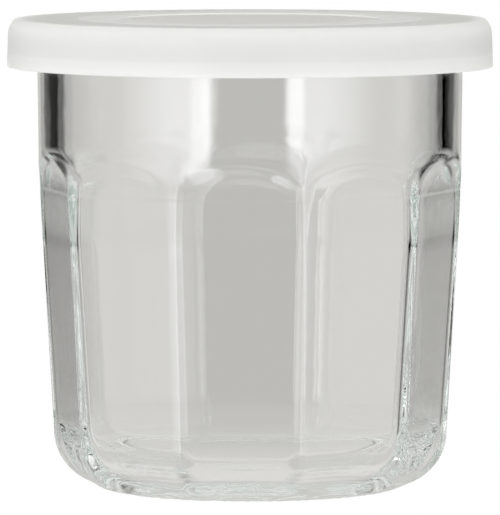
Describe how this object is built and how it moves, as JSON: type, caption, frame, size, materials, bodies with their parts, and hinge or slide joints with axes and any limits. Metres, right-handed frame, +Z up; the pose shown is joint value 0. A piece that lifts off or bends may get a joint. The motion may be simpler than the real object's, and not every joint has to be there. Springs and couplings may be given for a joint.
{
  "type": "jam jar",
  "caption": "Empty clear pressed-glass jam jar with flat panels under a round band, closed by a milky push-on plastic lid.",
  "frame": {"origin": "centre of the jar's base, on the surface that it stands on", "axes": "+Z up along the jar's axis, -Y towards the side that the picture shows, +X to its right"},
  "size_m": [0.096, 0.096, 0.0928],
  "materials": {
    "glass": "clear pressed glass with a faint green tint, smooth and slightly wavy, stippled on its bearing ring",
    "lid_plastic": "milky white soft polyethylene, satin, slightly see-through, with turned rings on its top"
  },
  "bodies": {
    "root": {"glass_jar": "glass", "lid": "lid_plastic"}
  },
  "joints": []
}
